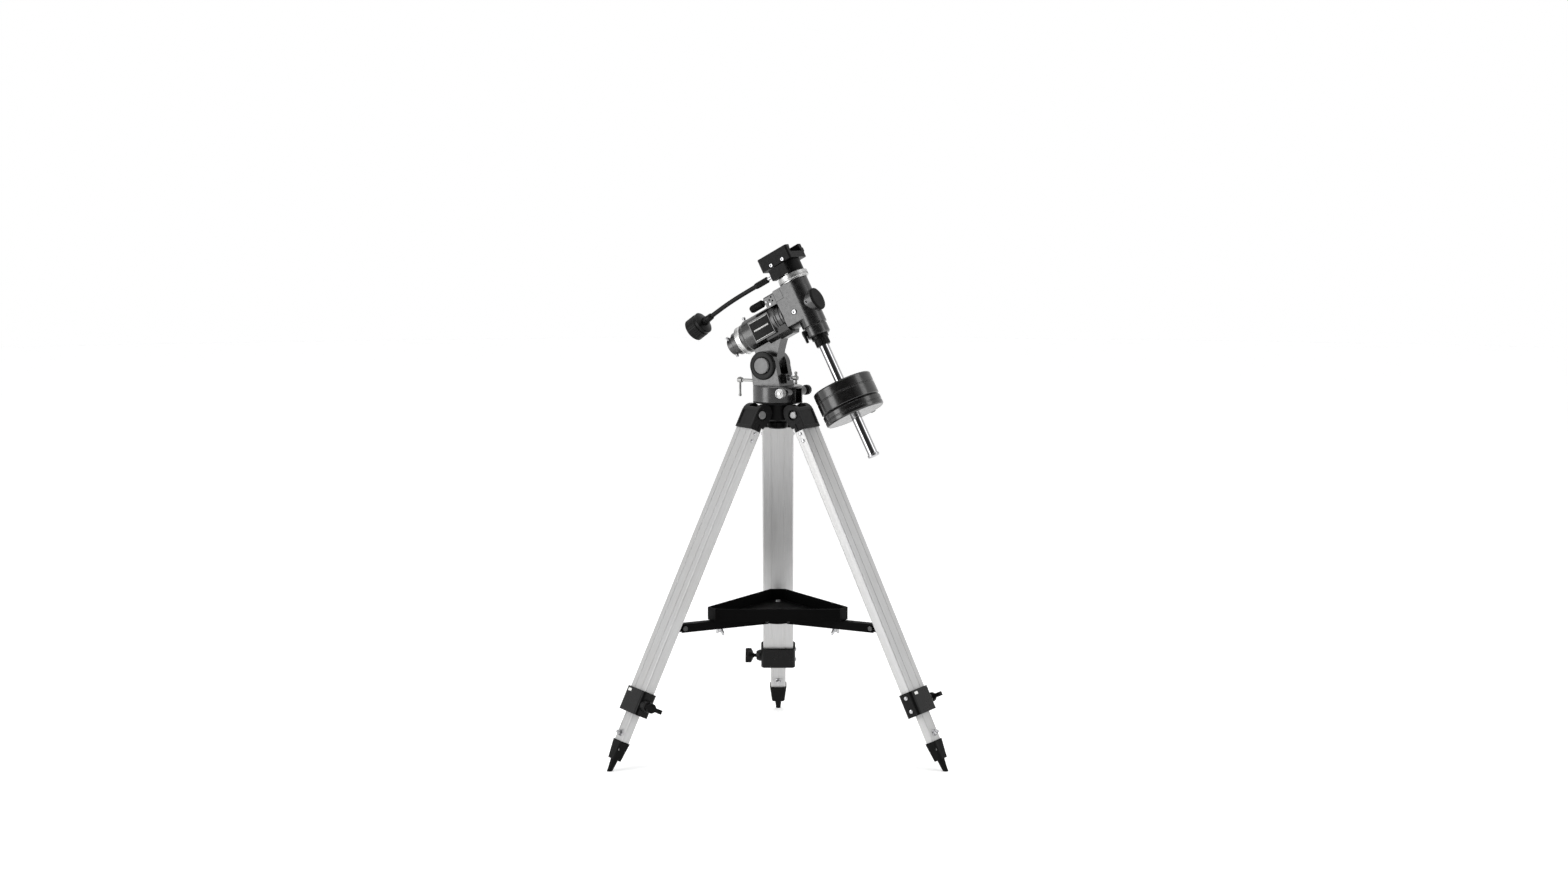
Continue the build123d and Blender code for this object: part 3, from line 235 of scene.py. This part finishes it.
SLEEVE = plastic("cable_sleeve", grey(0.003), 0.30, 1200, 0.00003, 0.15)
CHROME = metal("polished_chrome", rgb(0.50, 0.50, 0.51), 0.08, 500, 0.000004)
STEEL = metal("zinc_steel", rgb(0.48, 0.48, 0.49), 0.28)
DULL_STEEL = metal("dull_steel", rgb(0.30, 0.30, 0.295), 0.38)
DARK_STEEL = metal("dark_steel", grey(0.20), 0.38)
SPINDLE = metal("ground_steel", rgb(0.45, 0.45, 0.46), 0.30)
BRASS = metal("gear_brass", rgb(0.68, 0.50, 0.22), 0.28)
CIRCLE = metal("circle_aluminium", rgb(0.58, 0.58, 0.575), 0.32, 1800, 0.00002)
LEG_METAL = [extrusion(f"leg_extrusion_{number + 1}", LEGS[number]) for number in range(3)]
BLACKENED = metal("blackened_steel", grey(0.06), 0.35)
# dark ink: printed divisions of the circles, and the painted shade line along the step of the declination
# housing's pad
INK_AND_SHADE = plastic("printed_ink_and_shade", grey(0.012), 0.55)
LABEL = plastic("label_white", rgb(0.72, 0.72, 0.70), 0.5, 2600, 0.00002)
PALE_LINE = plastic("plate_trim", rgb(0.50, 0.50, 0.49), 0.35, 2600, 0.00002)

FINISH = {
    "black_casting": CASTING, "leg_aluminium": LEG_METAL[0], "black_plastic": PLASTIC, "foot_rubber": RUBBER,
    "tray_black": TRAY_PLASTIC, "bar_chrome": CHROME, "screw_steel": STEEL, "grey_casting": GREY_CASTING,
    "circle_aluminium": CIRCLE, "wheel_brass": BRASS, "spindle_steel": SPINDLE, "weight_iron": IRON,
    "cable_black": SLEEVE,
}
SPECIAL = {
    "leg_heads": LEG_CASTING, "tripod_hub": LEG_CASTING, "spreader_arms": TRAY_PLASTIC,
    "spreader_brackets": TRAY_PLASTIC, "spreader_hub": TRAY_PLASTIC, "leg_collars": GLOSS_PLASTIC,
    "slow_motion_knob": GLOSS_PLASTIC, "latitude_bolt_rear": DULL_STEEL, "latitude_bolt_front": DULL_STEEL,
    "azimuth_screw_front": DULL_STEEL, "azimuth_screw_rear": GLOSS_PLASTIC,
    "pole_cap": PLASTIC, "hinge_bolts": DARK_STEEL, "saddle": LEG_CASTING, "dec_worm_housing": LEG_CASTING,
    "spreader_pins": BLACKENED, "bar_nut": GLOSS_PLASTIC, "toe_saver": STEEL,
}


def dress(obj, material):
    obj.data.materials.clear()
    obj.data.materials.append(material)


for part in frame["record"]["subparts"]:
    name = part["node"]
    finish = SPECIAL.get(name, FINISH[part["material_slot"]])
    if "_leg_" in name and name[-1].isdigit() and part["material_slot"] == "leg_aluminium":
        finish = LEG_METAL[int(name[-1]) - 1]
    dress(NODES[name], finish)


# ------------------------------------------------------------------ small pieces
def piece(name, mesh_or_curve, material, body):
    """Object in the scene that rides on a body of the frame."""
    obj = bpy.data.objects.new(name, mesh_or_curve)
    bpy.context.scene.collection.objects.link(obj)
    dress(obj, material)
    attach(obj, body)
    return obj


def finish_mesh(name, bm):
    """Clean mesh with smooth faces and sharp corners; frees the bmesh."""
    bmesh.ops.remove_doubles(bm, verts=bm.verts, dist=1e-7)
    bmesh.ops.recalc_face_normals(bm, faces=bm.faces)
    mesh = bpy.data.meshes.new(name)
    bm.to_mesh(mesh)
    bm.free()
    for polygon in mesh.polygons:
        polygon.use_smooth = True
    mesh.set_sharp_from_angle(angle=radians(38))
    return mesh


def lathe_into(bm, matrix, points, steps=40):
    """Round body from (radius, height) points in millimetres about the frame's z."""
    rings = []
    for radius, height in points:
        if radius < 1e-6:
            rings.append([bm.verts.new(matrix @ Vector((0, 0, height * MM)))])
        else:
            rings.append([bm.verts.new(matrix @ Vector((radius * cos(2 * pi * k / steps) * MM,
                                                        radius * sin(2 * pi * k / steps) * MM, height * MM)))
                          for k in range(steps)])
    for low, high in zip(rings, rings[1:]):
        for k in range(steps):
            a, b = low[k % len(low)], low[(k + 1) % len(low)]
            c, d = high[(k + 1) % len(high)], high[k % len(high)]
            corners = list(dict.fromkeys((a, b, c, d)))
            if len(corners) > 2:
                bm.faces.new(corners)


def slab_into(bm, matrix, low, high, bevel=0.3):
    """Bevelled block between two corners, millimetres."""
    size = [(h - l) * MM for l, h in zip(low, high)]
    centre = Vector([(h + l) / 2 * MM for l, h in zip(low, high)])
    made = bmesh.ops.create_cube(bm, size=1.0)["verts"]
    bmesh.ops.scale(bm, vec=size, verts=made)
    edges = {edge for vert in made for edge in vert.link_edges}
    rounded = bmesh.ops.bevel(bm, geom=list(edges), offset=bevel * MM, segments=2, affect="EDGES",
                              profile=0.5)
    verts = {v for face in rounded["faces"] for v in face.verts} | {v for v in made if v.is_valid}
    linked = set()
    stack = list(verts)
    while stack:
        vert = stack.pop()
        if vert in linked:
            continue
        linked.add(vert)
        stack.extend(edge.other_vert(vert) for edge in vert.link_edges)
    bmesh.ops.transform(bm, matrix=matrix @ Matrix.Translation(centre), verts=list(linked))


def hex_into(bm, matrix, across, low, high):
    """Hexagonal nut body with chamfered corners."""
    radius = across / 2 / cos(pi / 6)
    lathe_into(bm, matrix, ((0, low), (radius * 0.92, low), (radius, low + 0.5), (radius, high - 0.7),
                            (radius * 0.9, high), (0, high)), 6)


def screw_head(bm, matrix, radius, height):
    """Pan head with a cross recess, its seat at z 0."""
    recess = radius * 0.42
    lathe_into(bm, matrix, ((0, -0.4), (radius, -0.4), (radius, height * 0.5), (radius * 0.86, height * 0.85),
                            (radius * 0.55, height), (recess, height), (recess * 0.6, height - 0.7),
                            (0, height - 0.9)), 28)


def socket_head(bm, matrix, radius, height):
    """Cylinder head with a hexagon socket."""
    lathe_into(bm, matrix, ((0, -0.4), (radius, -0.4), (radius, height - 0.5), (radius - 0.5, height),
                            (radius * 0.55, height), (radius * 0.5, height - 0.3),
                            (radius * 0.5, height - 2.2), (0, height - 2.4)), 30)


def group(name, build, material, body):
    """One piece whose mesh is filled by build(bm)."""
    bm = bmesh.new()
    build(bm)
    return piece(name, finish_mesh(name, bm), material, body)


# latitude pivot: a raised ring and a cap on each cheek of the yoke
PIVOT = HEAD.inverted() @ Vector(JOINTS["latitude"]["pos_m"]) / MM
CHEEKS = (-1, 1)
RING_BORE = 15.95


def latitude_rings(bm):
    for way in CHEEKS:
        lathe_into(bm, aim(HEAD, PIVOT, (0, way, 0)),
                   ((RING_BORE, 29.4), (28.2, 29.4), (28.4, 31.5), (27.4, 33.4), (25.5, 34.0), (18.2, 34.0),
                    (16.6, 33.4), (RING_BORE, 32.2), (RING_BORE, 29.4)), 72)


group("latitude_rings", latitude_rings, GLOSS_PLASTIC, "azimuth_head")


def latitude_discs(bm):
    for way in CHEEKS:
        lathe_into(bm, aim(HEAD, PIVOT, (0, way, 0)),
                   ((0, 37.0), (15.0, 37.0), (15.2, 38.0), (14.4, 38.25), (13.8, 38.1), (0, 38.1)), 60)


group("latitude_discs", latitude_discs, GREY_CASTING, "azimuth_head")

# blank plate on the polar housing, with a pale line along each edge and one in the middle
PLATE_LOW, PLATE_HIGH = (-116, -35.3, -23), (-70, -34.0, 17.6)
group("name_plate", lambda bm: slab_into(bm, DEC, PLATE_LOW, PLATE_HIGH, 0.5), PLATE_CASTING, "polar_head")


def plate_trim(bm):
    for z in (-22.2, 15.4):
        slab_into(bm, DEC, (-115.2, -35.6, z), (-70.8, -35.0, z + 1.4), 0.2)
    slab_into(bm, DEC, (-111, -35.55, -3.5), (-75, -35.0, -0.3), 0.2)


group("plate_trim", plate_trim, PALE_LINE, "polar_head")

# screws of the head: name, body, head shape, radius, height, direction, places in the DEC frame
SCREWS = (
    ("dec_cap_screw", "dec_head", socket_head, 4.9, 3.0, (0, -1, 0), ((-16.5, -24.2, -5.3),)),
    ("pole_cap_screw", "dec_head", socket_head, 3.6, 5.0, (0.55, -0.83, 0), ((14.2, -20.6, 0),)),
    ("saddle_screws", "saddle_head", socket_head, 3.7, 3.2, (0, -1, 0), ((-17, -31.0, 97), (11, -31.0, 97))),
    ("cover_screw", "polar_head", screw_head, 2.6, 1.8, (0, -1, 0), ((-66.0, -21.8, 40.5),)),
)
for name, body, shape, radius, height, facing, places in SCREWS:
    def screws(bm):
        for place in places:
            shape(bm, aim(DEC, place, facing), radius, height)

    group(name, screws, STEEL, body)


# painted shade: a dark line along the step round the corner pad of the declination housing, where the step's
# shadow falls
def pad_step_shade(bm):
    slab_into(bm, DEC, (-43.3, -25.55, 29.4), (-25.0, -25.2, 30.0), 0.1)
    slab_into(bm, DEC, (-25.6, -25.55, 30.0), (-25.0, -25.2, 51.6), 0.1)


group("dec_pad_shade_line", pad_step_shade, INK_AND_SHADE, "dec_head")


def index_block(bm):
    slab_into(bm, DEC, (1.0, -32.6, 66.6), (8.0, -26.0, 73.0), 0.6)


group("dec_index", index_block, LABEL, "saddle_head")


def circle_lock(bm):
    stem = aim(DEC, (-139.5, 0, 30), (0, 0, 1))
    lathe_into(bm, stem, ((0, 0), (2.0, 0), (2.0, 6.0), (3.4, 6.0), (3.6, 6.6), (3.6, 10.6), (3.0, 11.4),
                          (0, 11.6)), 26)


group("circle_lock_screw", circle_lock, STEEL, "polar_head")


def knob_rings(bm):
    face = aim(HEAD, (36.2, -59.5, 726.5), (0, -1, 0))
    for inner, outer, rise in ((0.0, 3.0, 0.25), (4.2, 6.0, -1.6), (7.9, 8.9, -0.75)):
        bevelled = inner + 0.2 if inner else 0
        lathe_into(bm, face, ((inner, rise - 0.5), (outer, rise - 0.5), (outer, rise),
                              (outer - 0.2, rise + 0.2), (bevelled, rise + 0.2), (inner, rise),
                              (inner, rise - 0.5)), 40)


group("azimuth_knob_rings", knob_rings, STEEL, "azimuth_screw_front")


# graduated circles: printed divisions round the rims
def divisions(bm, matrix, radius, low, high, count, long_every):
    """Thin quads round a rim, every long_every-th one full height."""
    for k in range(count):
        angle = 2 * pi * k / count
        tall = high if k % long_every == 0 else low + (high - low) * 0.55
        half = 0.16 if k % long_every == 0 else 0.11
        corners = []
        for turn, height in ((-half, low), (half, low), (half, tall), (-half, tall)):
            a = angle + turn / radius
            corners.append(bm.verts.new(matrix @ (Vector((radius * cos(a), radius * sin(a), height)) * MM)))
        bm.faces.new(corners)


RA_FRAME = aim(DEC, (0, 0, 0), (1, 0, 0), (0, 0, 1))
RA_RIM, DEC_RIM = 29.64, 31.04
group("ra_divisions", lambda bm: divisions(bm, RA_FRAME, RA_RIM, -161.0, -155.6, 144, 6), INK_AND_SHADE, "ra_circle")
group("dec_divisions", lambda bm: divisions(bm, DEC, DEC_RIM, 56.2, 61.8, 180, 10), INK_AND_SHADE, "dec_circle")

# slow-motion cable: control points of one smooth curve, from the worm's sleeve to the knob
CABLE_SIDE = -27
CABLE_RUN = ((-46, 77), (-84, 77), (-129, 76.2), (-170, 73), (-202, 69))
CABLE = [DEC @ (Vector((x, CABLE_SIDE, z)) * MM) for x, z in CABLE_RUN]
line = bpy.data.curves.new("slow_motion_line", "CURVE")
line.dimensions = "3D"
line.bevel_depth = 4.6 * MM
line.bevel_resolution = 8
line.resolution_u = 24
spline = line.splines.new("NURBS")
spline.points.add(len(CABLE) - 1)
for point, place in zip(spline.points, CABLE):
    point.co = (*place, 1)
spline.order_u = 3
spline.use_endpoint_u = True
cable = piece("slow_motion_line", line, SLEEVE, "saddle_head")
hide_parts("slow_motion_cable")


def cable_ferrule(bm):
    sleeve = aim(DEC, (-40.0, CABLE_SIDE, 77), (-1, 0, 0))
    profile = [(0, 0), (6.0, 0), (6.4, 0.8)]
    for k in range(5):
        profile += [(6.4, 3 + 4.6 * k), (5.9, 3.6 + 4.6 * k), (5.9, 4.4 + 4.6 * k), (6.3, 5.0 + 4.6 * k)]
    profile += [(6.1, 29), (5.2, 31.5), (0, 31.5)]
    lathe_into(bm, sleeve, profile, 40)


ferrule = group("cable_ferrule", cable_ferrule, GLOSS_PLASTIC, "saddle_head")
last_run = (CABLE[-1] - CABLE[-2]).normalized()


def knob_collar(bm):
    base = frame_of(CABLE[-1] - last_run * 0.014, last_run.orthogonal().normalized(),
                    last_run.cross(last_run.orthogonal().normalized()), last_run)
    lathe_into(bm, base, ((0, 0), (5.4, 0), (6.6, 1.5), (7.0, 8), (7.6, 14), (0, 14)), 40)


collar = group("knob_collar", knob_collar, GLOSS_PLASTIC, "slow_knob")

# tripod hardware
BOLT_ALONG = 77      # foot bolt above the foot's tip, along the leg
for number, leg in enumerate(LEGS, start=1):
    def foot_bolt(bm):
        def facing(inward, depth):
            return aim(leg, (0, depth, BOLT_ALONG), (0, inward, 0))

        lathe_into(bm, facing(1, 8.4), ((0, -0.2), (8.0, -0.2), (8.2, 0.6), (7.6, 1.4), (0, 1.4)), 36)
        hex_into(bm, facing(1, 9.6), 10.0, 0, 4.4)
        lathe_into(bm, facing(-1, -8.4), ((0, -0.2), (7.0, -0.2), (7.2, 0.6), (6.8, 1.4), (0, 1.4)), 36)
        hex_into(bm, facing(-1, -9.6), 10.0, 0, 5.0)
        lathe_into(bm, facing(-1, -14.2), ((0, -0.4), (3.0, -0.4), (3.0, 3.8), (2.4, 4.4), (0, 4.5)), 24)
        lathe_into(bm, facing(1, -9), ((0, 0), (2.9, 0), (2.9, 18), (0, 18)), 20)

    group(f"foot_bolt_{number}", foot_bolt, STEEL, f"extension_{number}")


def leg_top_screws(bm):
    for leg in LEGS:
        for across in (-25.5, 25.5):
            screw_head(bm, aim(leg, (across, -10.9, 722), (0, -1, 0)), 2.6, 1.4)


group("leg_face_screws", leg_top_screws, STEEL, "stand")


def collar_labels(bm):
    for leg in LEGS:
        slab_into(bm, leg, (-26, -16.2, 158.5), (-13, -15.6, 164.0), 0.25)


group("collar_labels", collar_labels, LABEL, "stand")


group("latitude_lock_nut", lambda bm: hex_into(bm, aim(HEAD, (27, 0, 754), (1, 0, 0)), 11.0, 0.1, 5.0), STEEL,
      "azimuth_head")

# ------------------------------------------------------------------ studio
FLOOR_RADIUS, FLOOR_GAP = 14, 0.0006
floor_bm = bmesh.new()
bmesh.ops.create_circle(floor_bm, cap_ends=True, segments=96, radius=FLOOR_RADIUS)
floor = bpy.data.objects.new("studio_floor", finish_mesh("studio_floor", floor_bm))
floor.location = (0, 0, -FLOOR_GAP)
bpy.context.scene.collection.objects.link(floor)
floor_shader = Shader("floor_paper")
floor_shader.join(floor_shader.blend(floor_shader.noise(3, 3), grey(0.86), grey(0.90)),
                  floor_shader.remap(floor_shader.noise(12, 2), 0.3, 0.7, 0.75, 0.9),
                  floor_shader.bump(floor_shader.noise(300, 2), 0.0001, 0.3))
floor_shader.set(Emission_Color=grey(1.0), Emission_Strength=0.36)
dress(floor, floor_shader.material)

# room: bright behind the object, dim on the camera's side; plain white where the camera sees it directly
world = bpy.data.worlds.new("studio")
bpy.context.scene.world = world
world.use_nodes = True
tree = world.node_tree
tree.nodes.clear()
coord = tree.nodes.new("ShaderNodeTexCoord")
axes = tree.nodes.new("ShaderNodeSeparateXYZ")
tree.links.new(coord.outputs["Generated"], axes.inputs[0])
dim = tree.nodes.new("ShaderNodeMapRange")
dim.interpolation_type = "SMOOTHSTEP"
tree.links.new(axes.outputs["Y"], dim.inputs[0])
for index, value in ((1, -0.85), (2, -0.25), (3, 0.05), (4, 0.85)):
    dim.inputs[index].default_value = value
room = tree.nodes.new("ShaderNodeBackground")
room.inputs["Color"].default_value = grey(1.0)
tree.links.new(dim.outputs[0], room.inputs["Strength"])
paper = tree.nodes.new("ShaderNodeBackground")
paper.inputs["Color"].default_value = grey(1.0)
paper.inputs["Strength"].default_value = 1.0
path = tree.nodes.new("ShaderNodeLightPath")
mixer = tree.nodes.new("ShaderNodeMixShader")
tree.links.new(path.outputs["Is Camera Ray"], mixer.inputs[0])
tree.links.new(room.outputs[0], mixer.inputs[1])
tree.links.new(paper.outputs[0], mixer.inputs[2])
out = tree.nodes.new("ShaderNodeOutputWorld")
tree.links.new(mixer.outputs[0], out.inputs["Surface"])


def softbox(name, place, target, width, height, radiance, shiny=True):
    """Rectangular light aimed at a target; energy follows its area."""
    light = bpy.data.lights.new(name, "AREA")
    light.shape = "RECTANGLE"
    light.size, light.size_y = width, height
    light.energy = radiance * pi * width * height
    obj = bpy.data.objects.new(name, light)
    obj.location = place
    obj.visible_glossy = shiny
    obj.rotation_euler = (Vector(target) - Vector(place)).to_track_quat("-Z", "Y").to_euler()
    bpy.context.scene.collection.objects.link(obj)


softbox("key_left", (-2.05, -1.30, 0.95), (0, -0.08, 0.80), 1.0, 2.2, 3.5)
softbox("fill_right", (2.1, -0.9, 1.3), (0, -0.08, 0.7), 0.8, 2.0, 2.2)
softbox("top_soft", (0.0, -0.6, 3.2), (0, 0, 0.5), 2.4, 2.4, 1.6)
softbox("front_soft", (0.2, -4.9, 2.6), (0, 0, 0.4), 2.0, 1.2, 2.4, shiny=False)

camera_data = bpy.data.cameras.new("camera")
camera_data.lens = 53.07
camera_data.sensor_width = 36
camera = bpy.data.objects.new("camera", camera_data)
camera.location = (0.0125, AXIS.y - 4.59827, 1.10574)
camera.rotation_euler = (radians(84.13), 0, 0)
bpy.context.scene.collection.objects.link(camera)
bpy.context.scene.camera = camera
bpy.context.scene.view_settings.view_transform = "Standard"
